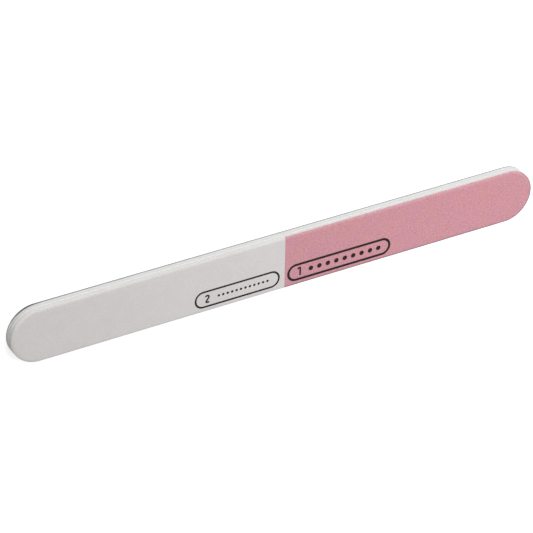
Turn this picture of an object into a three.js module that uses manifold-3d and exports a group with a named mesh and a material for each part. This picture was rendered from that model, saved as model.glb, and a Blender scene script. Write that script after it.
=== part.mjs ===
// Nail buffer board: a flat, round-ended laminate of abrasive sheets, foam and a stiff core.
// Millimetres, +Z up. X runs along the board with the coarse half at +X. The origin is at the
// middle of the rear face, which lies at z = 0, and the printed two-grade front face looks up.
import * as THREE from "three";
import { mergeVertices } from "three/addons/utils/BufferGeometryUtils.js";
import Module from "manifold-3d";

// Outline: parallel sides and full-round ends.
const boardLength = 178;
const boardWidth = 18;

// Plies, from the rear face up, and the one grade of double-sided tape that bonds them all.
const rearSheetThickness = 0.3;
const rearFoamThickness = 1.0;
const stiffenerThickness = 0.4;
const frontFoamThickness = 1.0;
const frontSheetThickness = 0.3;
const tapeThickness = 0.1;

// Butt seam of the two front sheets: its place along the board, and the hairline left open in it.
const seamPlace = 0.7;
const seamGap = 0.1;

// Front rim, rolled over by the cutting die: how far in it starts, and how far it drops.
const rimWidth = 1.2;
const rimDrop = 0.24;

// Hollow that the die leaves in the cut edge of each springy foam ply.
const foamHollow = 0.12;

// Facets of one round end, of the rolled rim and of a hollow foam edge.
const endFacets = 24;
const rimFacets = 5;
const hollowFacets = 6;

// Finishes.
const fineGrit = new THREE.MeshStandardMaterial({ color: "#d2cecd", roughness: 0.9 });
const coarseGrit = new THREE.MeshStandardMaterial({ color: "#d0969e", roughness: 0.95 });
const polishGrit = new THREE.MeshStandardMaterial({ color: "#8e9092", roughness: 0.8 });
const whiteFoam = new THREE.MeshStandardMaterial({ color: "#e4e5e3", roughness: 0.85 });
const whitePlastic = new THREE.MeshStandardMaterial({ color: "#efeeea", roughness: 0.5 });
const clearTape = new THREE.MeshStandardMaterial({ color: "#e6e2d6", roughness: 0.4 });

const wasm = await Module();
wasm.setup();

// The board's outline, drawn in by an inset and lifted to a height, anticlockwise from above.
function outline(inset, height) {
  const radius = boardWidth / 2 - inset;
  const endCentre = (boardLength - boardWidth) / 2;
  const quarter = Math.PI / 2;
  const coarseEnd = new THREE.EllipseCurve(endCentre, 0, radius, radius, -quarter, quarter);
  const fineEnd = new THREE.EllipseCurve(-endCentre, 0, radius, radius, quarter, 3 * quarter);
  const points = [...coarseEnd.getPoints(endFacets), ...fineEnd.getPoints(endFacets)];
  return points.map((point) => new THREE.Vector3(point.x, point.y, height));
}

// A closed solid through the outlines of a profile, a list of (inset, height) points that runs
// from the underside, round the edge, to the upper side. Both ends of it are closed by flat caps.
function loft(profile) {
  const rings = profile.map((point) => outline(point.x, point.y));
  const around = rings[0].length;
  const index = [];
  for (let level = 0; level < rings.length - 1; level += 1) {
    for (let i = 0; i < around; i += 1) {
      const here = level * around + i;
      const next = level * around + ((i + 1) % around);
      index.push(here, next, next + around);
      index.push(here, next + around, here + around);
    }
  }
  const flat = rings[0].map((point) => new THREE.Vector2(point.x, point.y));
  const upperCap = (rings.length - 1) * around;
  for (const [a, b, c] of THREE.ShapeUtils.triangulateShape(flat, [])) {
    index.push(a, c, b);
    index.push(upperCap + a, upperCap + b, upperCap + c);
  }
  const geometry = new THREE.BufferGeometry().setFromPoints(rings.flat());
  geometry.setIndex(index);
  return geometry;
}

// The rolled front rim, from the edge inwards, below a ply surface at the given height.
function rolledRim(height) {
  return Array.from({ length: rimFacets + 1 }, (_, i) => {
    const outward = 1 - i / rimFacets;
    return new THREE.Vector2(rimWidth * (1 - outward), height - rimDrop * outward ** 2);
  });
}

// A foam ply's cut edge, hollowed by the die, from the lower height to the upper one.
function hollowEdge(lower, upper) {
  return Array.from({ length: hollowFacets + 1 }, (_, i) => {
    const rise = i / hollowFacets;
    const inset = foamHollow * 4 * rise * (1 - rise);
    return new THREE.Vector2(inset, THREE.MathUtils.lerp(lower, upper, rise));
  });
}

// Profiles of the ply kinds, each between the heights of its underside and its upper side.
const flatPly = (lower, upper) => [new THREE.Vector2(0, lower), new THREE.Vector2(0, upper)];
const rolledPly = (lower, upper) => [...rolledRim(lower).reverse(), ...rolledRim(upper)];
const flatFoam = hollowEdge;
const rolledFoam = (lower, upper) => [
  ...hollowEdge(lower, upper - rimDrop),
  ...rolledRim(upper).slice(1),
];

// A closed geometry as a solid that can be cut.
function solidOf(geometry) {
  const bare = geometry.clone();
  bare.deleteAttribute("normal");
  bare.deleteAttribute("uv");
  const merged = mergeVertices(bare);
  const vertProperties = merged.attributes.position.array;
  const triVerts = new Uint32Array(merged.index.array);
  return new wasm.Manifold(new wasm.Mesh({ numProp: 3, vertProperties, triVerts }));
}

// The half of a ply on one side of the butt seam: +1 the coarse side, -1 the fine side.
function halfPly(geometry, side) {
  const block = new THREE.BoxGeometry(boardLength, 2 * boardWidth, boardLength);
  block.translate(seamPlace + (side * (boardLength + seamGap)) / 2, 0, 0);
  const half = solidOf(geometry).intersect(solidOf(block)).getMesh();
  const cut = new THREE.BufferGeometry();
  cut.setAttribute("position", new THREE.BufferAttribute(half.vertProperties, 3));
  cut.setIndex(new THREE.BufferAttribute(half.triVerts, 1));
  return cut;
}

// The lay-up. A ply is one piece over the whole board, or two pieces that meet at the butt seam.
const layUp = [
  {
    thickness: rearSheetThickness,
    profile: flatPly,
    pieces: [{ name: "rear_polish_sheet", finish: polishGrit }],
  },
  {
    thickness: tapeThickness,
    profile: flatPly,
    pieces: [{ name: "rear_sheet_adhesive", finish: clearTape }],
  },
  {
    thickness: rearFoamThickness,
    profile: flatFoam,
    pieces: [{ name: "rear_foam", finish: whiteFoam }],
  },
  {
    thickness: tapeThickness,
    profile: flatPly,
    pieces: [{ name: "rear_core_adhesive", finish: clearTape }],
  },
  {
    thickness: stiffenerThickness,
    profile: flatPly,
    pieces: [{ name: "stiffener_strip", finish: whitePlastic }],
  },
  {
    thickness: tapeThickness,
    profile: flatPly,
    pieces: [{ name: "front_core_adhesive", finish: clearTape }],
  },
  {
    thickness: frontFoamThickness,
    profile: rolledFoam,
    pieces: [{ name: "front_foam", finish: whiteFoam }],
  },
  {
    thickness: tapeThickness,
    profile: rolledPly,
    pieces: [
      { name: "front_fine_adhesive", finish: clearTape, side: -1 },
      { name: "front_coarse_adhesive", finish: clearTape, side: 1 },
    ],
  },
  {
    thickness: frontSheetThickness,
    profile: rolledPly,
    pieces: [
      { name: "front_fine_sheet", finish: fineGrit, side: -1 },
      { name: "front_coarse_sheet", finish: coarseGrit, side: 1 },
    ],
  },
];

const nailBuffer = new THREE.Group();
nailBuffer.name = "nail_buffer";
let height = 0;
for (const { thickness, profile, pieces } of layUp) {
  const ply = loft(profile(height, height + thickness));
  for (const { name, finish, side } of pieces) {
    const piece = new THREE.Mesh(side ? halfPly(ply, side) : ply, finish);
    piece.name = name;
    nailBuffer.add(piece);
  }
  height += thickness;
}

export default nailBuffer;
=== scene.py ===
"""Dresses a flat nail buffer board: abrasive sheets, foam edges, printed grade marks and a studio.

Lengths are in metres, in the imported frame: X runs along the board with the coarse half at +X, the
rear face lies on z = 0 and the two-grade front face looks up.
"""

import logging
import math
from dataclasses import dataclass, replace
from enum import Enum

import bmesh
import bpy
from mathutils import Matrix, Quaternion, Vector, noise


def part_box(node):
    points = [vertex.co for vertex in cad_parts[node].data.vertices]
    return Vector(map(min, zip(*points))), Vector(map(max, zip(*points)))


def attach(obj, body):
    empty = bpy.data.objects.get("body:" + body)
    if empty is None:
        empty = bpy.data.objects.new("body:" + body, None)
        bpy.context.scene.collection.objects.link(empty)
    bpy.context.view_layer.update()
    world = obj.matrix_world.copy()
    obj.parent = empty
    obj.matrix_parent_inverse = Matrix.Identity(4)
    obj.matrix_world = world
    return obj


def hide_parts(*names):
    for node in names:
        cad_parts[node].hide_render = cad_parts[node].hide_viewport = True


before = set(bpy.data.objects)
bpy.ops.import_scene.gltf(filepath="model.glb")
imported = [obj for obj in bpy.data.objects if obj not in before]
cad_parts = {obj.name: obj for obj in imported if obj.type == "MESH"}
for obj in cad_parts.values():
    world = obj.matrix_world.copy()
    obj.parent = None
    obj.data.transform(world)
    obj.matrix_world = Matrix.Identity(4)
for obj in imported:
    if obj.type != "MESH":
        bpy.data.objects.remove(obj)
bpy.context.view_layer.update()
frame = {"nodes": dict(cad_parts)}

MM = 0.001
BODY = "root"
# Mesh attribute: each point's share of rim wear, painted highlight and painted shade.
RIM_ATTRIBUTE = "rim"

# Points that lie closer than this are one point: a long sweep rounds them by less.
MERGE = 0.002 * MM
# Angle between two faces from which their edge looks sharp.
SHARP_EDGE = math.radians(35.0)
# Least upright part of a face's normal where a sheet carries grit.
LEVEL_FACE = 0.5
# Range that holds nearly all values of a noise texture.
NOISE_SPAN = (0.3, 0.7)
# Soft outline of a speck, in its radii, and of the choice of the cells that hold one.
SPECK_BLUR = 1.6
CHOICE_BLUR = 0.02

Colour = tuple[float, float, float]
Triple = tuple[float, float, float]
Span = tuple[float, float]
Section = list[tuple[float, float]]
Mesh = bmesh.types.BMesh
Edges = list[bmesh.types.BMEdge]
Geometry = list[bmesh.types.BMVert | bmesh.types.BMEdge | bmesh.types.BMFace]
Material = bpy.types.Material
Piece = bpy.types.Object
Socket = bpy.types.NodeSocket
Value = Socket | float
Tint = Socket | Colour
Feed = Socket | float | Colour | Vector

WHITE: Colour = (1.0, 1.0, 1.0)

log = logging.getLogger("nail_buffer")


class Half(Enum):
    """Halves of the front face, by the side of the butt seam that they lie on."""

    FINE = -1
    COARSE = 1


class Face(Enum):
    """Faces of the board that carry print."""

    FRONT = "front"
    REAR = "rear"


class Coat(Enum):
    """Material places of a sheet: its abrasive face, and its backing with the cut edge."""

    GRIT = 0
    BACKING = 1


class NodeKit:
    """Adds shader nodes to one node tree."""

    def __init__(self, tree: bpy.types.NodeTree) -> None:
        """Takes up a node tree."""
        self.nodes = tree.nodes
        self.links = tree.links

    def feed(self, socket: Socket, value: Feed) -> None:
        """Links a socket to a node's output, or sets its value.

        Args:
            socket: The input that is fed.
            value: An output socket, a number, a colour or a vector.
        """
        if isinstance(value, Socket):
            self.links.new(value, socket)
        elif isinstance(value, tuple):
            socket.default_value = (*value, 1.0)
        else:
            socket.default_value = value

    def node(self, kind: str, feeds: dict[int | str, Feed]) -> bpy.types.Node:
        """Adds a node and feeds its inputs.

        Args:
            kind: The node's type, without the start that all types share.
            feeds: What its inputs take, by their places or names.

        Returns:
            The node.
        """
        node = self.nodes.new(f"ShaderNode{kind}")
        for place, value in feeds.items():
            self.feed(node.inputs[place], value)
        return node

    def math(self, operation: str, first: Value, second: Value) -> Socket:
        """Reckons with two values.

        Args:
            operation: What is done with them.
            first: The first value.
            second: The second value.

        Returns:
            The result.
        """
        node = self.node("Math", {0: first, 1: second})
        node.operation = operation
        return node.outputs[0]

    def times(self, first: Value, second: Value) -> Socket:
        """Product of two values."""
        return self.math("MULTIPLY", first, second)

    def plus(self, first: Value, second: Value) -> Socket:
        """Sum of two values."""
        return self.math("ADD", first, second)

    def ramp(self, value: Socket, span: Span, result: Span = (0.0, 1.0)) -> Socket:
        """A value with one span of it mapped to another span, and held there beyond its ends."""
        ends = dict(enumerate((*span, *result), start=1))
        return self.node("MapRange", {0: value, **ends}).outputs[0]

    def seen(self) -> Socket:
        """Tells what looks from what lights.

        Returns:
            One where a camera, a reflection or a see-through surface looks, and zero for lighting.
        """
        path = self.node("LightPath", {}).outputs
        reflected = self.math("MAXIMUM", path["Is Glossy Ray"], path["Is Transmission Ray"])
        return self.math("MAXIMUM", path["Is Camera Ray"], reflected)


class FinishTree(NodeKit):
    """Node tree of one procedural finish, patterned on Object coordinates."""

    def __init__(self, name: str, specular: float) -> None:
        """Starts a finish.

        Args:
            name: The material's name.
            specular: Strength of its surface reflection.
        """
        self.material = bpy.data.materials.new(name)
        self.material.use_nodes = True
        super().__init__(self.material.node_tree)
        self.shader = self.nodes["Principled BSDF"]
        self.shader.inputs["Specular IOR Level"].default_value = specular
        self.place = self.node("TexCoord", {}).outputs["Object"]

    def noise(self, size: float, detail: float = 2.0, stretch: Triple = (1.0, 1.0, 1.0)) -> Socket:
        """Soft random patches.

        Args:
            size: Width of a patch.
            detail: Finer layers on top of the patches.
            stretch: How many times longer a patch is along X, Y and Z.

        Returns:
            A value about one half.
        """
        scale = Vector(1.0 / times for times in stretch)
        place = self.node("Mapping", {"Vector": self.place, "Scale": scale}).outputs["Vector"]
        feeds = {"Vector": place, "Scale": 1.0 / size, "Detail": detail}
        return self.node("TexNoise", feeds).outputs[0]

    def cells(self, size: float) -> tuple[Socket, Socket]:
        """Packed cells: the distance from a cell's middle, in cells, and the cell's random colour."""
        outputs = self.node("TexVoronoi", {"Vector": self.place, "Scale": 1.0 / size}).outputs
        return outputs["Distance"], outputs["Color"]

    def specks(self, spacing: float, share: float, radius: float) -> Socket:
        """Stray round specks, each alone in its cell.

        Args:
            spacing: Width of a cell.
            share: Share of the cells that hold a speck.
            radius: Radius of a speck, in cells.

        Returns:
            One in a speck and zero elsewhere.
        """
        distance, chance = self.cells(spacing)
        inside = self.ramp(distance, (radius, SPECK_BLUR * radius), (1.0, 0.0))
        chosen = self.ramp(chance, (1.0 - share, 1.0 - share + CHOICE_BLUR))
        return self.times(inside, chosen)

    def spread(self, patches: Socket, low: float, high: float) -> Socket:
        """Spreads a noise's usual values from a low result to a high one."""
        return self.ramp(patches, NOISE_SPAN, (low, high))

    def axis(self, name: str) -> Socket:
        """Place along one axis of the frame."""
        return self.node("SeparateXYZ", {0: self.place}).outputs[name]

    def attribute(self, name: str) -> Socket:
        """Reads a value that the mesh carries at its points.

        Args:
            name: The attribute's name.

        Returns:
            The value.
        """
        node = self.node("Attribute", {})
        node.attribute_name = name
        return node.outputs["Fac"]

    def mix(self, share: Value, first: Tint, second: Tint, blend: str = "MIX") -> Socket:
        """Mixes two colours.

        Args:
            share: Share of the second colour.
            first: The colour below.
            second: The colour on top.
            blend: How the second colour goes on.

        Returns:
            The mixed colour.
        """
        node = self.node("Mix", {})
        node.data_type = "RGBA"
        node.blend_type = blend
        # The places of the factor and of the two colours.
        for place, value in ((0, share), (6, first), (7, second)):
            self.feed(node.inputs[place], value)
        return node.outputs[2]

    def tinted(self, colour: Socket, tint: Tint) -> Socket:
        """A colour times a tint."""
        return self.mix(1.0, colour, tint, blend="MULTIPLY")

    def bump(self, height: Socket, depth: float) -> None:
        """Roughens the surface by a pattern, of which a height of one stands for the depth."""
        node = self.node("Bump", {"Height": height, "Distance": depth})
        self.feed(self.shader.inputs["Normal"], node.outputs["Normal"])

    def finish(self, colour: Socket, roughness: Socket) -> Material:
        """Feeds the shader and gives the finished material.

        Args:
            colour: The surface colour.
            roughness: The surface roughness.

        Returns:
            The material.
        """
        self.feed(self.shader.inputs["Base Color"], colour)
        self.feed(self.shader.inputs["Roughness"], roughness)
        return self.material


@dataclass(frozen=True)
class EdgeDarkening:
    """Patchy darkening of a cut edge: each span runs from where the edge keeps its colour to where it
    is fully darkened.
    """

    dark_tone: Colour
    along: Span
    across: Span
    upward: Span | None = None
    patch: float = 5.0 * MM
    least: float = 0.7

    def over(self, tree: FinishTree, colour: Socket) -> Socket:
        """Darkens a colour in patches.

        Args:
            tree: The finish's node tree.
            colour: The colour before darkening.

        Returns:
            The darkened colour.
        """
        share = tree.spread(tree.noise(self.patch), self.least, 1.0)
        for name, span in (("X", self.along), ("Y", self.across), ("Z", self.upward)):
            if span:
                share = tree.times(share, tree.ramp(tree.axis(name), span))
        return tree.mix(share, colour, self.dark_tone)


@dataclass(frozen=True)
class RimTints:
    """Tints of a coat's rim: a wear tint all round, a painted highlight on the +Y side, which faces the
    key light, and painted shade at the other side's brink.
    """

    worn: Colour
    # Painted highlight on the +Y rim, which faces the key light.
    painted_highlight: Colour
    # Painted shade at the brink of the side away from the key light.
    brink: Colour
    # Span of Y over which the painted highlight grows towards +Y and the painted shade towards the
    # other side.
    side_reach: float = 8.0 * MM
    brink_shade_start: float = 0.45
    least: float = 0.5

    def over(self, tree: FinishTree, colour: Socket, patches: Socket) -> Socket:
        """Tints a coat's rim where its mesh marks it: wear all round, a painted highlight on the +Y
        side and painted shade at the other side's brink.

        Args:
            tree: The coat's node tree.
            colour: The coat's colour.
            patches: Noise that makes the wear and the painted highlight patchy.

        Returns:
            The tinted colour.
        """
        rim, across = tree.attribute(RIM_ATTRIBUTE), tree.axis("Y")
        # Towards +Y the wear tint turns into a painted highlight.
        tint = tree.mix(tree.ramp(across, (0.0, self.side_reach)), self.worn, self.painted_highlight)
        share = tree.times(rim, tree.spread(patches, self.least, 1.0))
        colour = tree.mix(share, colour, tree.tinted(colour, tint))
        # Painted shade on the brink of the side away from the key light.
        away = tree.ramp(across, (0.0, self.side_reach), (1.0, 0.0))
        share = tree.times(away, tree.ramp(rim, (self.brink_shade_start, 1.0)))
        return tree.mix(share, colour, tree.tinted(colour, self.brink))


@dataclass(frozen=True)
class GritFinish:
    """Abrasive coat: packed grains in a coloured bond, clouded and clumped, with stray specks."""

    name: str
    bond: Colour
    cloud: Colour
    speck: Colour
    grain: float
    depth: float
    contrast: float
    speck_share: float
    tints: RimTints | None = None
    smooth: float = 0.84
    rough: float = 0.97
    specular: float = 0.25
    cloud_size: float = 5.0 * MM
    cloud_span: Span = (0.35, 0.65)
    clump_grains: float = 3.0
    clump_span: Span = (0.2, 0.8)
    grain_span: Span = (0.0, 0.7)
    speck_spacing: float = 1.3 * MM
    speck_radius: float = 0.14

    def material(self) -> Material:
        """Builds the coat's material.

        Returns:
            The material.
        """
        tree = FinishTree(self.name, self.specular)
        light = (1.0 - self.contrast, 1.0 + self.contrast)
        grains, chance = tree.cells(self.grain)
        clumps = tree.noise(self.clump_grains * self.grain, detail=3.0)
        clouds = tree.ramp(tree.noise(self.cloud_size), self.cloud_span)
        colour = tree.mix(clouds, self.bond, self.cloud)
        colour = tree.tinted(colour, tree.ramp(clumps, self.clump_span, light))
        colour = tree.tinted(colour, tree.ramp(chance, (0.0, 1.0), light))
        strays = tree.specks(self.speck_spacing, self.speck_share, self.speck_radius)
        colour = tree.mix(strays, colour, self.speck)
        if self.tints:
            colour = self.tints.over(tree, colour, clumps)
        tree.bump(tree.plus(tree.ramp(grains, self.grain_span, (1.0, 0.0)), clumps), self.depth)
        return tree.finish(colour, tree.spread(clumps, self.smooth, self.rough))


@dataclass(frozen=True)
class StreakedFinish:
    """Ply with fine streaks: by default the fibres of a paper, drawn out along the sheet."""

    name: str
    ground: Colour
    streak: Colour
    darkening: tuple[EdgeDarkening, ...] = ()
    smooth: float = 0.8
    rough: float = 0.95
    specular: float = 0.2
    streak_size: float = 0.12 * MM
    stretch: Triple = (4.0, 4.0, 0.6)
    streak_span: Span = NOISE_SPAN
    relief: float = 0.02 * MM

    def material(self) -> Material:
        """Builds the ply's material.

        Returns:
            The material.
        """
        tree = FinishTree(self.name, self.specular)
        streaks = tree.noise(self.streak_size, detail=3.0, stretch=self.stretch)
        colour = tree.mix(tree.ramp(streaks, self.streak_span), self.ground, self.streak)
        for layer in self.darkening:
            colour = layer.over(tree, colour)
        tree.bump(streaks, self.relief)
        return tree.finish(colour, tree.spread(streaks, self.smooth, self.rough))


@dataclass(frozen=True)
class CutPlasticFinish(StreakedFinish):
    """Sheet plastic or tape seen at its cut edge: fine upright cutting marks."""

    specular: float = 0.4
    streak_size: float = 0.2 * MM
    stretch: Triple = (1.0, 1.0, 10.0)
    streak_span: Span = (0.35, 0.7)


@dataclass(frozen=True)
class FoamFinish:
    """Closed-cell foam, die cut: opened pores and drag marks of the blade."""

    name: str
    skin: Colour
    pore: Colour
    darkening: tuple[EdgeDarkening, ...] = ()
    smooth: float = 0.8
    rough: float = 0.95
    specular: float = 0.2
    pore_size: float = 0.24 * MM
    pore_span: Span = (0.12, 0.4)
    pore_shade: float = 0.5
    opened_span: Span = (0.4, 0.9)
    drag_size: float = 0.3 * MM
    drag_stretch: Triple = (1.0, 1.0, 8.0)
    drag_span: Span = (0.4, 0.75)
    drag_shade: float = 0.35
    drag_height: float = 0.4
    relief: float = 0.05 * MM

    def material(self) -> Material:
        """Builds the foam's material.

        Returns:
            The material.
        """
        tree = FinishTree(self.name, self.specular)
        pores, chance = tree.cells(self.pore_size)
        hollow = tree.ramp(pores, self.pore_span, (1.0, 0.0))
        opened = tree.times(hollow, tree.ramp(chance, self.opened_span))
        drag = tree.noise(self.drag_size, stretch=self.drag_stretch)
        dragged = tree.ramp(drag, self.drag_span, (0.0, self.drag_shade))
        shade = tree.plus(tree.times(opened, self.pore_shade), dragged)
        colour = tree.mix(shade, self.skin, self.pore)
        for layer in self.darkening:
            colour = layer.over(tree, colour)
        height = tree.plus(tree.times(opened, -1.0), tree.times(drag, self.drag_height))
        tree.bump(height, self.relief)
        return tree.finish(colour, tree.spread(drag, self.smooth, self.rough))


@dataclass(frozen=True)
class InkFinish:
    """Printing ink on grit: nearly black, and broken where a grain stands through it."""

    name: str
    ink: Colour
    under: GritFinish
    smooth: float = 0.6
    rough: float = 0.9
    specular: float = 0.12
    thin_span: Span = (0.45, 0.8)
    thin_share: float = 0.06
    bare_grains: float = 2.0
    bare_share: float = 0.04
    bare_radius: float = 0.2
    relief: float = 0.02 * MM

    def material(self) -> Material:
        """Builds the ink's material.

        Returns:
            The material.
        """
        tree = FinishTree(self.name, self.specular)
        grit, grain = self.under.bond, self.under.grain
        clumps = tree.noise(self.under.clump_grains * grain, detail=3.0)
        colour = tree.mix(tree.ramp(clumps, self.thin_span, (0.0, self.thin_share)), self.ink, grit)
        bare = tree.specks(self.bare_grains * grain, self.bare_share, self.bare_radius)
        tree.bump(clumps, self.relief)
        return tree.finish(tree.mix(bare, colour, grit), tree.spread(clumps, self.smooth, self.rough))


FINE_GRIT = GritFinish(
    name="fine white grit",
    bond=(0.623, 0.597, 0.589),
    cloud=(0.609, 0.585, 0.581),
    speck=(0.42, 0.4, 0.4),
    grain=0.1 * MM,
    depth=0.02 * MM,
    contrast=0.085,
    speck_share=0.02,
    # Rim tints: slight wear all round, a painted highlight on the +Y rim, which faces the key light,
    # and faint painted shade at the other side's brink.
    tints=RimTints(worn=(1.03, 1.04, 1.04), painted_highlight=(1.25, 1.26, 1.26), brink=(0.98, 0.99, 0.99)),
)
COARSE_GRIT = GritFinish(
    name="coarse pink grit",
    bond=(0.572, 0.27, 0.297),
    cloud=(0.559, 0.268, 0.318),
    speck=(0.38, 0.18, 0.25),
    grain=0.16 * MM,
    depth=0.05 * MM,
    contrast=0.19,
    speck_share=0.14,
    # Rim tints: slight wear all round, a painted highlight on the +Y rim, which faces the key light,
    # and strong painted shade at the other side's brink.
    tints=RimTints(worn=(0.98, 0.96, 0.97), painted_highlight=(1.13, 1.4, 1.33), brink=(0.3, 0.53, 0.53)),
)
POLISH_GRIT = GritFinish(
    name="grey polishing grit",
    bond=(0.27, 0.275, 0.285),
    cloud=(0.25, 0.255, 0.265),
    speck=(0.12, 0.12, 0.125),
    grain=0.07 * MM,
    depth=0.012 * MM,
    contrast=0.08,
    speck_share=0.03,
    smooth=0.5,
    rough=0.7,
)
WHITE_PAPER = StreakedFinish(
    name="white backing paper",
    ground=(0.88, 0.875, 0.865),
    streak=(0.83, 0.825, 0.81),
)
PINK_PAPER = StreakedFinish(
    name="tinted backing paper",
    ground=(0.88, 0.83, 0.83),
    streak=(0.84, 0.75, 0.76),
)

# Nearly black darkening at the very end of the fine half, on the +Y side of the rear film and of its
# tape.
END_DARKENING = EdgeDarkening(
    dark_tone=(0.012, 0.012, 0.013),
    along=(-74.0 * MM, -84.0 * MM),
    across=(4.5 * MM, 8.7 * MM),
)
GREY_FILM = StreakedFinish(
    name="grey backing film",
    ground=(0.35, 0.353, 0.358),
    streak=(0.29, 0.293, 0.298),
    # Darker towards the fine end on the +Y side of the cut edge, and nearly black at the very end.
    darkening=(
        EdgeDarkening(dark_tone=(0.17, 0.17, 0.172), along=(-10.0 * MM, -80.0 * MM), across=(0.0, 6.0 * MM)),
        END_DARKENING,
    ),
)
WHITE_FOAM = FoamFinish("white cut foam", skin=(0.862, 0.865, 0.855), pore=(0.68, 0.68, 0.67))
# The rear ply's white foam, painted lighter than the front ply's as painted light on the rear wall.
LIGHTENED_REAR_FOAM = FoamFinish(
    name="white cut foam painted lighter, darker at the foot",
    skin=(0.905, 0.908, 0.9),
    pore=(0.77, 0.77, 0.76),
    # Darker at the foot of the +Y side, more so towards the fine end, and nearly black at the very end.
    darkening=(
        EdgeDarkening(
            dark_tone=(0.4, 0.4, 0.4),
            along=(220.0 * MM, -85.0 * MM),
            across=(4.0 * MM, 8.2 * MM),
            upward=(0.75 * MM, 0.4 * MM),
        ),
        EdgeDarkening(
            dark_tone=(0.012, 0.012, 0.012),
            along=(-77.0 * MM, -84.0 * MM),
            across=(4.5 * MM, 8.7 * MM),
            upward=(0.8 * MM, 0.5 * MM),
        ),
    ),
)
STIFF_PLASTIC = CutPlasticFinish(
    name="white core plastic",
    ground=(0.85, 0.85, 0.84),
    streak=(0.79, 0.79, 0.78),
    smooth=0.4,
    rough=0.65,
)
CLEAR_TAPE = CutPlasticFinish(
    name="cut adhesive tape",
    ground=(0.85, 0.847, 0.83),
    streak=(0.8, 0.795, 0.77),
    smooth=0.3,
    rough=0.55,
)
# The rear tape is darker than the clear tape, and darker still towards the fine end on the +Y side.
DARK_REAR_TAPE = CutPlasticFinish(
    name="darker cut adhesive tape",
    ground=(0.64, 0.638, 0.63),
    streak=(0.56, 0.557, 0.545),
    smooth=0.4,
    rough=0.7,
    darkening=(
        EdgeDarkening(dark_tone=(0.3, 0.3, 0.302), along=(-10.0 * MM, -80.0 * MM), across=(0.0, 6.0 * MM)),
        END_DARKENING,
    ),
)
FINE_INK = InkFinish("black ink on fine grit", ink=(0.012, 0.011, 0.011), under=FINE_GRIT)
COARSE_INK = InkFinish("black ink on coarse grit", ink=(0.01, 0.008, 0.0085), under=COARSE_GRIT)
POLISH_INK = InkFinish("black ink on polishing grit", ink=(0.015, 0.015, 0.016), under=POLISH_GRIT)


def edges_of(geometry: Geometry) -> Edges:
    """Picks the edges out of an operator's result."""
    return [element for element in geometry if isinstance(element, bmesh.types.BMEdge)]


def verts_of(geometry: Geometry) -> list[bmesh.types.BMVert]:
    """Picks the points out of an operator's result."""
    return [element for element in geometry if isinstance(element, bmesh.types.BMVert)]


def far_edges(geometry: Geometry) -> Edges:
    """Picks the edges between the new points out of an extrusion's result."""
    moved = verts_of(geometry)
    return [edge for edge in edges_of(geometry) if all(vert in moved for vert in edge.verts)]


def steps(start: float, end: float, count: int) -> list[float]:
    """Even steps from a start to an end, both included."""
    return [start + (end - start) * i / count for i in range(count + 1)]


def unevenness(point: Vector, size: float, depth: float) -> float:
    """Soft unevenness at a point: swells of a size, at most a depth up or down."""
    return depth * noise.noise(point / size)


def close(bm: Mesh) -> Mesh:
    """Merges a swept mesh where it meets itself, caps what is open and turns its faces out.

    Args:
        bm: The swept mesh.

    Returns:
        The same mesh, closed.
    """
    bmesh.ops.remove_doubles(bm, verts=bm.verts, dist=MERGE)
    open_edges = [edge for edge in bm.edges if edge.is_boundary]
    caps = bmesh.ops.holes_fill(bm, edges=open_edges, sides=0)["faces"]
    bmesh.ops.triangulate(bm, faces=caps, ngon_method="BEAUTY")
    bmesh.ops.recalc_face_normals(bm, faces=bm.faces)
    return bm


def place_piece(bm: Mesh, name: str, materials: list[Material]) -> Piece:
    """Makes a finished mesh a piece that rides on the board.

    Args:
        bm: The finished mesh, which is freed.
        name: The piece's name.
        materials: Its materials, in the order of its faces' places.

    Returns:
        The piece.
    """
    mesh = bpy.data.meshes.new(name)
    for face in bm.faces:
        face.smooth = True
    bm.to_mesh(mesh)
    bm.free()
    mesh.set_sharp_from_angle(angle=SHARP_EDGE)
    for material in materials:
        mesh.materials.append(material)
    piece = bpy.data.objects.new(name, mesh)
    bpy.context.scene.collection.objects.link(piece)
    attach(piece, BODY)
    log.info("%s: %d faces", name, len(mesh.polygons))
    return piece


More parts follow.
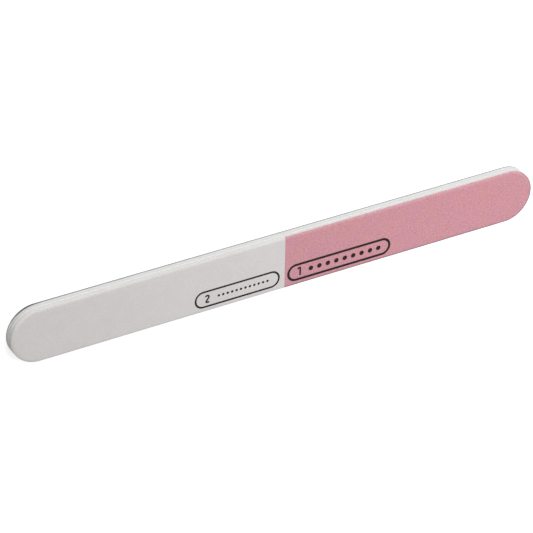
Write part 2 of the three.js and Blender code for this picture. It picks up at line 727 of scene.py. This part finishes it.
@dataclass(frozen=True)
class BoardOutline:
    """Outline that one die cuts through every ply: parallel sides and full-round ends."""

    length: float
    width: float
    end_steps: int = 72
    side_step: float = 0.4 * MM

    @property
    def radius(self) -> float:
        """Radius of the round ends."""
        return self.width / 2.0

    @property
    def end_centre(self) -> float:
        """Distance of a round end's centre from the board's middle."""
        return self.length / 2.0 - self.radius

    def inset(self, point: Vector) -> float:
        """Distance of a point from the outline, inwards."""
        along = max(abs(point.x) - self.end_centre, 0.0)
        return self.radius - math.hypot(along, point.y)

    def outward(self, point: Vector) -> Vector:
        """Level direction from the board's middle line out through a point."""
        along = math.copysign(max(abs(point.x) - self.end_centre, 0.0), point.x)
        return Vector((along, point.y, 0.0)).normalized()

    def draw(self, bm: Mesh, section: Section, side: int) -> Edges:
        """Draws a section where a round end starts.

        Args:
            bm: The mesh that is built.
            section: Points of the section as inset and height.
            side: The round end, +1 or -1 along X.

        Returns:
            The section's edges.
        """
        start = Vector((side * self.end_centre, 0.0, 0.0))
        points = [start + Vector((0.0, side * (inset - self.radius), z)) for inset, z in section]
        verts = [bm.verts.new(point) for point in points]
        return [bm.edges.new(pair) for pair in zip(verts, verts[1:])]

    def turn(self, bm: Mesh, edges: Edges, side: int) -> Edges:
        """Sweeps a section round one end.

        Args:
            bm: The mesh that is built.
            edges: The section's edges.
            side: The round end, +1 or -1 along X.

        Returns:
            The edges of the section where the end is done.
        """
        # A dictionary keeps the points in order, so that each run gives the same mesh.
        verts = dict.fromkeys(vert for edge in edges for vert in edge.verts)
        swept = bmesh.ops.spin(
            bm,
            geom=[*edges, *verts],
            cent=(side * self.end_centre, 0.0, 0.0),
            axis=(0.0, 0.0, 1.0),
            angle=math.pi,
            steps=self.end_steps,
        )
        return edges_of(swept["geom_last"])

    def run(self, bm: Mesh, edges: Edges, to_x: float) -> Edges:
        """Sweeps a section straight along the board.

        Args:
            bm: The mesh that is built.
            edges: The section's edges, all at one place along X.
            to_x: The place along X where the sweep ends.

        Returns:
            The edges of the section where the sweep ends.
        """
        drawn = bmesh.ops.extrude_edge_only(bm, edges=edges)["geom"]
        moved = verts_of(drawn)
        way = to_x - edges[0].verts[0].co.x
        bmesh.ops.translate(bm, verts=moved, vec=(way, 0.0, 0.0))
        ends = far_edges(drawn)
        lengths = [edge for vert in moved for edge in vert.link_edges if edge not in ends]
        cuts = round(abs(way) / self.side_step) - 1
        bmesh.ops.subdivide_edges(bm, edges=lengths, cuts=cuts, use_grid_fill=True)
        return ends

    def ring(self, section: Section) -> Mesh:
        """Sweeps a section that starts and ends on the middle line once round the outline.

        Args:
            section: Points of the section as inset and height.

        Returns:
            The closed mesh.
        """
        bm = bmesh.new()
        edges = self.draw(bm, section, side=1)
        for side in (1, -1):
            edges = self.turn(bm, edges, side)
            edges = self.run(bm, edges, -side * self.end_centre)
        return close(bm)

    def half(self, section: Section, side: int, seam: float) -> Mesh:
        """Sweeps a section that starts and ends on the middle line over half of the board.

        Args:
            section: Points of the section as inset and height.
            side: The half's round end, +1 or -1 along X.
            seam: The place along X where the half is cut square.

        Returns:
            The closed mesh.
        """
        bm = bmesh.new()
        start = self.draw(bm, section, side)
        last = self.turn(bm, start, side)
        self.run(bm, start + last, seam)
        return close(bm)


@dataclass(frozen=True)
class RolledRim:
    """Front rim that the cutting die rolled over: where it starts, and how far it drops."""

    width: float
    drop: float
    facets: int = 10

    def fall(self, inset: float) -> float:
        """How far the front lies below its level at an inset from the outline."""
        return self.drop * max(1.0 - inset / self.width, 0.0) ** 2

    def inward(self, level: float) -> Section:
        """Section of the rim below a level, from the outline inwards."""
        return [(inset, level - self.fall(inset)) for inset in steps(0.0, self.width, self.facets)]


@dataclass(frozen=True)
class RimWearAndLight:
    """Wear of a front sheet's rim, with its painted highlight and painted shade: their reach inwards
    and their strength, at the seam and at the end.
    """

    reach: Span
    strength: Span
    shape: float
    start: float = 35.0 * MM
    end: float = 75.0 * MM

    def share(self, along: float, inset: float) -> float:
        """How strongly the rim carries wear, painted highlight and painted shade, from zero to one.

        Args:
            along: Distance from the board's middle towards the round end.
            inset: Distance from the outline, inwards.

        Returns:
            The share of full strength.
        """
        far = min(max((along - self.start) / (self.end - self.start), 0.0), 1.0)
        reach, strength = (near + (end - near) * far for near, end in (self.reach, self.strength))
        return strength * max(1.0 - (max(inset, 0.0) / reach) ** self.shape, 0.0)


# Towards the fine end the rim's wear and painted highlight reach further in and grow stronger.
FINE_WEAR_AND_LIGHT = RimWearAndLight(reach=(1.0 * MM, 1.25 * MM), strength=(0.65, 1.0), shape=2.5)
COARSE_WEAR_AND_LIGHT = RimWearAndLight(reach=(1.2 * MM, 1.2 * MM), strength=(1.0, 1.0), shape=1.0)


@dataclass(frozen=True, kw_only=True)
class AbrasiveSheet:
    """A sheet that carries grit on one face and has a cut edge slightly frayed by the die."""

    outline: BoardOutline
    node: str
    slot: str
    piece: str
    grit: GritFinish
    backing: StreakedFinish
    fray: float = 0.5 * MM
    fray_depth: float = 0.02 * MM

    def dress(self, bm: Mesh, facing: int) -> Piece:
        """Frays the cut edge, coats the faces and puts the sheet in the place of its solid.

        Args:
            bm: The sheet's mesh.
            facing: The way the abrasive face looks, +1 up or -1 down.

        Returns:
            The sheet's piece.
        """
        for vert in bm.verts:
            if self.outline.inset(vert.co) < MERGE:
                way = abs(unevenness(vert.co, self.fray, self.fray_depth))
                vert.co -= self.outline.outward(vert.co) * way
        bm.normal_update()
        for part in bm.faces:
            level = facing * part.normal.z > LEVEL_FACE
            part.material_index = (Coat.GRIT if level else Coat.BACKING).value
        piece = place_piece(bm, self.piece, [self.grit.material(), self.backing.material()])
        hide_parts(self.node)
        return piece


@dataclass(frozen=True, kw_only=True)
class FrontSheet(AbrasiveSheet):
    """One abrasive sheet of the front face, glued down over the rolled rim and butted at the seam."""

    half: Half
    rim: RolledRim
    bottom: float
    wear_and_light: RimWearAndLight
    butt: float = 0.03 * MM
    cut_rows: int = 3
    face_step: float = 0.45 * MM
    swell: float = 9.0 * MM
    swell_depth: float = 0.005 * MM
    pinch: float = 14.0 * MM
    pinch_depth: float = 0.03 * MM

    def build(self) -> Piece:
        """Builds and dresses the sheet.

        Returns:
            The sheet's piece.
        """
        low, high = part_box(self.node)
        seam = low.x if self.half is Half.COARSE else high.x
        seam -= self.half.value * self.butt
        bm = self.outline.half(self.section(high.z), self.half.value, seam)
        self.settle(bm, (high.z + self.bottom) / 2.0)
        piece = self.dress(bm, facing=1)
        self.mark_rim(piece.data)
        return piece

    def section(self, top: float) -> Section:
        """Section of the sheet from its face, over the rim and down the cut edge, to its underside.

        Args:
            top: Height of the face.

        Returns:
            Points of the section as inset and height.
        """
        middle, rim = self.outline.radius, self.rim
        face = steps(middle, rim.width, round((middle - rim.width) / self.face_step))
        edge = steps(top - rim.drop, self.bottom - rim.drop, self.cut_rows)
        return [
            *((inset, top) for inset in face[:-1]),
            *reversed(rim.inward(top)),
            *((0.0, z) for z in edge[1:-1]),
            *rim.inward(self.bottom),
            (middle, self.bottom),
        ]

    def settle(self, bm: Mesh, mid_plane: float) -> None:
        """Gives the sheet's face its swells and the die's uneven pinch.

        Args:
            bm: The sheet's mesh.
            mid_plane: Height of the sheet's mid-plane, inside the rim.
        """
        for vert in bm.verts:
            inset = self.outline.inset(vert.co)
            if vert.co.z > mid_plane - self.rim.fall(inset):
                vert.co.z += unevenness(vert.co, self.swell, self.swell_depth)
                share = max(1.0 - inset / self.rim.width, 0.0) ** 2
                vert.co.z += share * unevenness(vert.co, self.pinch, self.pinch_depth)

    def mark_rim(self, mesh: bpy.types.Mesh) -> None:
        """Stores at each point how strongly the rim carries wear, painted highlight and painted shade
        there.

        Args:
            mesh: The sheet's mesh.
        """
        side, inset = self.half.value, self.outline.inset
        shares = [self.wear_and_light.share(side * vert.co.x, inset(vert.co)) for vert in mesh.vertices]
        attribute = mesh.attributes.new(RIM_ATTRIBUTE, "FLOAT", "POINT")
        attribute.data.foreach_set("value", shares)


@dataclass(frozen=True, kw_only=True)
class RearSheet(AbrasiveSheet):
    """The polishing sheet over the whole rear face, with the cut's small burr drawn in."""

    corner: float = 0.05 * MM
    corner_facets: int = 4
    face_step: float = 0.75 * MM

    def build(self) -> Piece:
        """Builds and dresses the sheet."""
        return self.dress(self.outline.ring(self.section()), facing=-1)

    def section(self) -> Section:
        """Section of the sheet from its glued side, round the rounded corner, to its face.

        Returns:
            Points of the section as inset and height.
        """
        low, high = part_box(self.node)
        arc = [math.radians(angle) for angle in steps(0.0, 90.0, self.corner_facets)]
        corner = [
            (self.corner * (1.0 - math.cos(a)), low.z + self.corner * (1.0 - math.sin(a))) for a in arc
        ]
        middle = self.outline.radius
        face = steps(self.face_step, middle, round(middle / self.face_step) - 1)
        return [(middle, high.z), (0.0, high.z), *corner, *((inset, low.z) for inset in face)]


@dataclass(frozen=True)
class FoamPly:
    """A springy foam ply: its cut edge is drawn in by the die and pitted with opened pores."""

    outline: BoardOutline
    node: str
    piece: str
    finish: FoamFinish
    rim: RolledRim | None = None
    slot: str = "white_foam"
    hollow: float = 0.12 * MM
    rows: int = 12
    lip: float = 1.2 * MM
    edge_depth: float = 0.18 * MM
    pore: float = 0.42 * MM
    pore_reach: float = 0.55
    pore_depth: float = 0.05 * MM
    ripple: float = 2.5 * MM
    ripple_depth: float = 0.02 * MM

    def build(self) -> Piece:
        """Builds and dresses the ply.

        Returns:
            The ply's piece.
        """
        low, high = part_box(self.node)
        brink = high.z - (self.rim.drop if self.rim else 0.0)
        bm = self.outline.ring(self.section())
        for vert in bm.verts:
            if self.outline.inset(vert.co) < self.edge_depth and low.z < vert.co.z < brink:
                near = noise.voronoi(vert.co / self.pore)[0][0]
                pit = self.pore_depth * max(1.0 - near / self.pore_reach, 0.0) ** 2
                wave = abs(unevenness(vert.co, self.ripple, self.ripple_depth))
                vert.co -= self.outline.outward(vert.co) * (pit + wave)
        piece = place_piece(bm, self.piece, [self.finish.material()])
        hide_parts(self.node)
        return piece

    def section(self) -> Section:
        """Section of the ply from its upper side, round the cut edge, to its underside.

        Returns:
            Points of the section as inset and height.
        """
        middle = self.outline.radius
        low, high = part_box(self.node)
        upper = self.rim.inward(high.z)[::-1] if self.rim else [(self.lip, high.z), (0.0, high.z)]
        brink = upper[-1][1]
        edge = [
            (self.hollow * 4.0 * rise * (1.0 - rise), brink + (low.z - brink) * rise)
            for rise in steps(0.0, 1.0, self.rows)
        ]
        return [(middle, high.z), *upper, *edge[1:], (self.lip, low.z), (middle, low.z)]


@dataclass(frozen=True)
class InnerPlies:
    """The stiff core and the tape layers, which keep their own solids and show at the cut edge."""

    core: str = "stiffener_strip"
    rear_tape: str = "rear_sheet_adhesive"
    tapes: tuple[str, ...] = (
        "rear_core_adhesive",
        "front_core_adhesive",
        "front_fine_adhesive",
        "front_coarse_adhesive",
    )

    def dress(self, nodes: dict[str, Piece]) -> None:
        """Gives the solids their finishes.

        Args:
            nodes: The frame's objects by node name.
        """
        finishes = {self.core: STIFF_PLASTIC.material(), self.rear_tape: DARK_REAR_TAPE.material()}
        finishes |= dict.fromkeys(self.tapes, CLEAR_TAPE.material())
        for name, material in finishes.items():
            nodes[name].data.materials.clear()
            nodes[name].data.materials.append(material)
            log.info("%s: %s", name, material.name)


@dataclass(frozen=True)
class Run:
    """Straight move of the pen."""

    length: float


@dataclass(frozen=True)
class Turn:
    """Round move of the pen: to the left for a positive angle, to the right for a negative one."""

    radius: float
    angle: float


def pen_ways(heading: float) -> tuple[Vector, Vector]:
    """Level directions ahead of the pen and to its left."""
    along, up = math.cos(heading), math.sin(heading)
    return Vector((along, up, 0.0)), Vector((-up, along, 0.0))


@dataclass(frozen=True)
class Stroke:
    """One flat pen stroke: where it starts, the way it heads there and the pen's moves."""

    start: Span
    heading: float
    moves: tuple[Run | Turn, ...]
    pen: float = 0.56 * MM
    facet_angle: float = 9.0

    def draw(self, bm: Mesh, origin: Vector) -> None:
        """Draws the stroke.

        Args:
            bm: The mesh that is built.
            origin: The figure's middle.
        """
        heading = math.radians(self.heading)
        middle = origin + Vector((*self.start, 0.0))
        left = pen_ways(heading)[1]
        edge = bm.edges.new([bm.verts.new(middle + side * self.pen / 2.0 * left) for side in (1, -1)])
        for move in self.moves:
            ahead, left = pen_ways(heading)
            if isinstance(move, Turn):
                swept = bmesh.ops.spin(
                    bm,
                    geom=[edge, *edge.verts],
                    cent=middle + math.copysign(move.radius, move.angle) * left,
                    axis=(0.0, 0.0, 1.0),
                    angle=math.radians(move.angle),
                    steps=math.ceil(abs(move.angle) / self.facet_angle),
                )
                edge = edges_of(swept["geom_last"])[0]
                heading += math.radians(move.angle)
            else:
                drawn = bmesh.ops.extrude_edge_only(bm, edges=[edge])["geom"]
                bmesh.ops.translate(bm, verts=verts_of(drawn), vec=ahead * move.length)
                edge = far_edges(drawn)[0]
            middle = (edge.verts[0].co + edge.verts[1].co) / 2.0


# Radius of a turn on the pen's own inner edge, which leaves a sharp corner there.
PEN_CORNER = Stroke.pen / 2.0
FIGURES: dict[str, tuple[Stroke, ...]] = {
    "1": (
        Stroke(
            start=(-0.67 * MM, 0.94 * MM),
            heading=45.0,
            moves=(Run(0.55 * MM), Turn(PEN_CORNER, -135.0), Run(2.55 * MM)),
        ),
    ),
    "2": (
        Stroke(
            start=(-0.53 * MM, 0.76 * MM),
            heading=75.0,
            moves=(Turn(0.55 * MM, -200.0), Run(1.295 * MM), Turn(PEN_CORNER, 125.0), Run(0.75 * MM)),
        ),
    ),
    "3": (
        Stroke(
            start=(-0.43 * MM, 0.91 * MM),
            heading=60.0,
            moves=(Turn(0.5 * MM, -240.0), Run(0.2 * MM)),
        ),
        Stroke(start=(0.0, 0.11 * MM), heading=0.0, moves=(Turn(0.63 * MM, -240.0),)),
    ),
}


@dataclass(frozen=True)
class GradePrint:
    """Grade mark of a sheet: a round-ended frame with the step's number and a row of grains."""

    piece: str
    number: str
    middle: Span
    length: float
    grains: int
    grain_radius: float
    stroke: float
    ink: InkFinish
    side: Face = Face.FRONT
    height: float = 5.25 * MM
    film: float = 0.012 * MM
    margin: float = 3.9 * MM
    facets: int = 64
    grain_facets: int = 20

    def build(self, face: float) -> Piece:
        """Prints the mark on a face.

        Args:
            face: Height of the face.

        Returns:
            The print's piece.
        """
        bm = bmesh.new()
        self.draw_frame(bm)
        self.draw_grains(bm)
        for stroke in FIGURES[self.number]:
            stroke.draw(bm, Vector((self.margin - self.length / 2.0, 0.0, 0.0)))
        bmesh.ops.remove_doubles(bm, verts=bm.verts, dist=MERGE)
        raised = bmesh.ops.extrude_face_region(bm, geom=list(bm.faces), use_keep_orig=True)["geom"]
        bmesh.ops.translate(bm, verts=verts_of(raised), vec=(0.0, 0.0, self.film))
        if self.side is Face.REAR:
            bmesh.ops.rotate(bm, verts=bm.verts, matrix=Matrix.Rotation(math.pi, 3, "X"))
        bmesh.ops.translate(bm, verts=bm.verts, vec=(*self.middle, face))
        bmesh.ops.recalc_face_normals(bm, faces=bm.faces)
        return place_piece(bm, self.piece, [self.ink.material()])

    def draw_frame(self, bm: Mesh) -> None:
        """Draws the round-ended frame as a flat stroke.

        Args:
            bm: The mesh that is built, still empty.
        """
        turned = Matrix.Rotation(math.pi / self.facets, 4, "Z")
        radius = (self.height + self.stroke) / 2.0
        bmesh.ops.create_circle(bm, cap_ends=True, radius=radius, segments=self.facets, matrix=turned)
        for vert in bm.verts:
            vert.co.x += math.copysign((self.length - self.height) / 2.0, vert.co.x)
        inner = list(bm.faces)
        bmesh.ops.inset_region(
            bm, faces=inner, thickness=self.stroke, use_boundary=True, use_even_offset=True
        )
        bmesh.ops.delete(bm, geom=inner, context="FACES")

    def draw_grains(self, bm: Mesh) -> None:
        """Draws the row of grains beside the number.

        Args:
            bm: The mesh that is built.
        """
        end = self.length / 2.0
        for x in steps(-end + 2.0 * self.margin, end - self.margin, self.grains - 1):
            bmesh.ops.create_circle(
                bm,
                cap_ends=True,
                radius=self.grain_radius,
                segments=self.grain_facets,
                matrix=Matrix.Translation((x, 0.0, 0.0)),
            )


def hang(name: str, data: bpy.types.ID, aim: Vector, back: Vector, roll: float = 0.0) -> Piece:
    """Hangs a light or a camera in the scene.

    Args:
        name: Its name.
        data: The light or the camera.
        aim: The point that it looks at.
        back: The way from that point to where it hangs.
        roll: How far it is rolled about the way it looks, in degrees.

    Returns:
        Its object.
    """
    hung = bpy.data.objects.new(name, data)
    hung.location = aim + back
    hung.rotation_mode = "QUATERNION"
    upright = (-back).to_track_quat("-Z", "Y")
    hung.rotation_quaternion = upright @ Quaternion((0.0, 0.0, 1.0), math.radians(roll))
    bpy.context.scene.collection.objects.link(hung)
    return hung


@dataclass(frozen=True)
class SoftBox:
    """Square soft light that looks at the board's middle."""

    name: str
    direction: Triple
    distance: float
    size: float
    power: float

    def build(self) -> None:
        """Hangs the light in its direction from the board."""
        lamp = bpy.data.lights.new(self.name, "AREA")
        lamp.shape = "SQUARE"
        lamp.size = self.size
        lamp.energy = self.power
        hang(self.name, lamp, Vector(), Vector(self.direction).normalized() * self.distance)


@dataclass(frozen=True)
class Studio:
    """Pale floor, even light, a key light, a near one, a low one, and the photograph's viewpoint."""

    floor_radius: float = 3.0
    floor_facets: int = 96
    floor_drop: float = 0.03 * MM
    floor_colour: Colour = (0.5, 0.5, 0.5)
    floor_lift: float = 0.71
    fade: Span = (0.2, 0.8)
    fill: float = 0.318
    key: SoftBox = SoftBox("key", direction=(0.026, 0.758, 0.651), distance=1.2, size=0.6, power=8.6)
    top: SoftBox = SoftBox("top", direction=(0.462, 0.0, 0.887), distance=0.285, size=0.15, power=0.335)
    low: SoftBox = SoftBox("low", direction=(0.494, -0.855, 0.156), distance=0.9, size=0.25, power=1.6)
    aim: Triple = (-5.635 * MM, 0.644 * MM, 3.4 * MM)
    azimuth: float = 217.629
    elevation: float = 46.433
    roll: float = 134.352
    distance: float = 821.706 * MM
    lens: float = 187.152
    nearest: float = 10.0 * MM

    def build(self) -> None:
        """Sets up the floor, the light and the camera."""
        bpy.context.scene.view_settings.view_transform = "Standard"
        self.lay_floor()
        self.light_world()
        for box in (self.key, self.top, self.low):
            box.build()
        self.set_camera()

    def lay_floor(self) -> None:
        """Lays the floor, a disc just below the board."""
        bm = bmesh.new()
        bmesh.ops.create_circle(
            bm,
            cap_ends=True,
            radius=self.floor_radius,
            segments=self.floor_facets,
            matrix=Matrix.Translation((0.0, 0.0, -self.floor_drop)),
        )
        mesh = bpy.data.meshes.new("floor")
        bm.to_mesh(mesh)
        bm.free()
        mesh.materials.append(self.floor_paint())
        floor = bpy.data.objects.new("floor", mesh)
        bpy.context.scene.collection.objects.link(floor)

    def floor_paint(self) -> Material:
        """Mixes the floor's paint, which looks white and keeps the board's shadow.

        Returns:
            The material.
        """
        material = bpy.data.materials.new("pale floor")
        material.use_nodes = True
        kit = NodeKit(material.node_tree)
        kit.nodes.clear()
        reach = kit.node("VectorMath", {0: kit.node("TexCoord", {}).outputs["Object"]})
        reach.operation = "LENGTH"
        lift = kit.ramp(reach.outputs["Value"], self.fade, (self.floor_lift, 1.0))
        glow = kit.node("Emission", {"Strength": kit.times(lift, kit.seen())}).outputs[0]
        paint = kit.node("BsdfDiffuse", {"Color": self.floor_colour}).outputs[0]
        both = kit.node("AddShader", {0: paint, 1: glow}).outputs[0]
        kit.node("OutputMaterial", {"Surface": both})
        return material

    def light_world(self) -> None:
        """Lights the board evenly from all round, before a white ground."""
        world = bpy.data.worlds.new("studio")
        world.use_nodes = True
        bpy.context.scene.world = world
        kit = NodeKit(world.node_tree)
        kit.nodes.clear()
        fill = kit.node("Background", {"Color": WHITE, "Strength": self.fill}).outputs[0]
        ground = kit.node("Background", {"Color": WHITE}).outputs[0]
        choice = kit.node("MixShader", {0: kit.seen(), 1: fill, 2: ground}).outputs[0]
        kit.node("OutputWorld", {"Surface": choice})

    def set_camera(self) -> None:
        """Sets the camera to the photograph's viewpoint."""
        camera = bpy.data.cameras.new("photo")
        camera.lens = self.lens
        camera.clip_start = self.nearest
        around, up = math.radians(self.azimuth), math.radians(self.elevation)
        level = math.cos(up)
        back = Vector((math.sin(around) * level, -math.cos(around) * level, math.sin(up)))
        view = hang("photo", camera, Vector(self.aim), back * self.distance, self.roll)
        bpy.context.scene.camera = view


def main() -> None:
    """Builds the studio and the board, piece by piece."""
    logging.basicConfig(level=logging.INFO, format="%(message)s")
    Studio().build()

    low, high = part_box("stiffener_strip")
    outline = BoardOutline(high.x - low.x, high.y - low.y)
    fine_outline = replace(outline, end_steps=160, side_step=0.18 * MM)
    sheet_low, face = (corner.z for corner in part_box("front_fine_sheet"))
    sheet_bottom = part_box("front_fine_adhesive")[1].z
    rim = RolledRim(width=1.2 * MM, drop=sheet_bottom - sheet_low)

    FrontSheet(
        outline=outline,
        rim=rim,
        bottom=sheet_bottom,
        half=Half.FINE,
        node="front_fine_sheet",
        slot="fine_abrasive",
        piece="fine_sheet_skin",
        grit=FINE_GRIT,
        wear_and_light=FINE_WEAR_AND_LIGHT,
        backing=WHITE_PAPER,
    ).build()
    FrontSheet(
        outline=outline,
        rim=rim,
        bottom=sheet_bottom,
        half=Half.COARSE,
        node="front_coarse_sheet",
        slot="coarse_abrasive",
        piece="coarse_sheet_skin",
        grit=COARSE_GRIT,
        wear_and_light=COARSE_WEAR_AND_LIGHT,
        backing=PINK_PAPER,
    ).build()
    RearSheet(
        outline=outline,
        node="rear_polish_sheet",
        slot="polish_abrasive",
        piece="rear_polish_skin",
        grit=POLISH_GRIT,
        backing=GREY_FILM,
    ).build()
    FoamPly(fine_outline, "front_foam", "front_foam_edge", finish=WHITE_FOAM, rim=rim).build()
    FoamPly(fine_outline, "rear_foam", "rear_foam_edge", finish=LIGHTENED_REAR_FOAM).build()
    InnerPlies().dress(frame["nodes"])
    GradePrint(
        piece="fine_grade_print",
        number="2",
        middle=(-15.4 * MM, -4.61 * MM),
        length=28.2 * MM,
        grains=12,
        grain_radius=0.42 * MM,
        stroke=0.62 * MM,
        ink=FINE_INK,
    ).build(face)
    GradePrint(
        piece="coarse_grade_print",
        number="1",
        middle=(19.66 * MM, -4.59 * MM),
        length=35.4 * MM,
        grains=9,
        grain_radius=0.8 * MM,
        stroke=0.8 * MM,
        ink=COARSE_INK,
    ).build(face)
    GradePrint(
        piece="polish_grade_print",
        number="3",
        middle=(0.0, 0.0),
        length=28.2 * MM,
        grains=16,
        grain_radius=0.22 * MM,
        stroke=0.62 * MM,
        ink=POLISH_INK,
        side=Face.REAR,
    ).build(0.0)


if __name__ == "__main__":
    main()
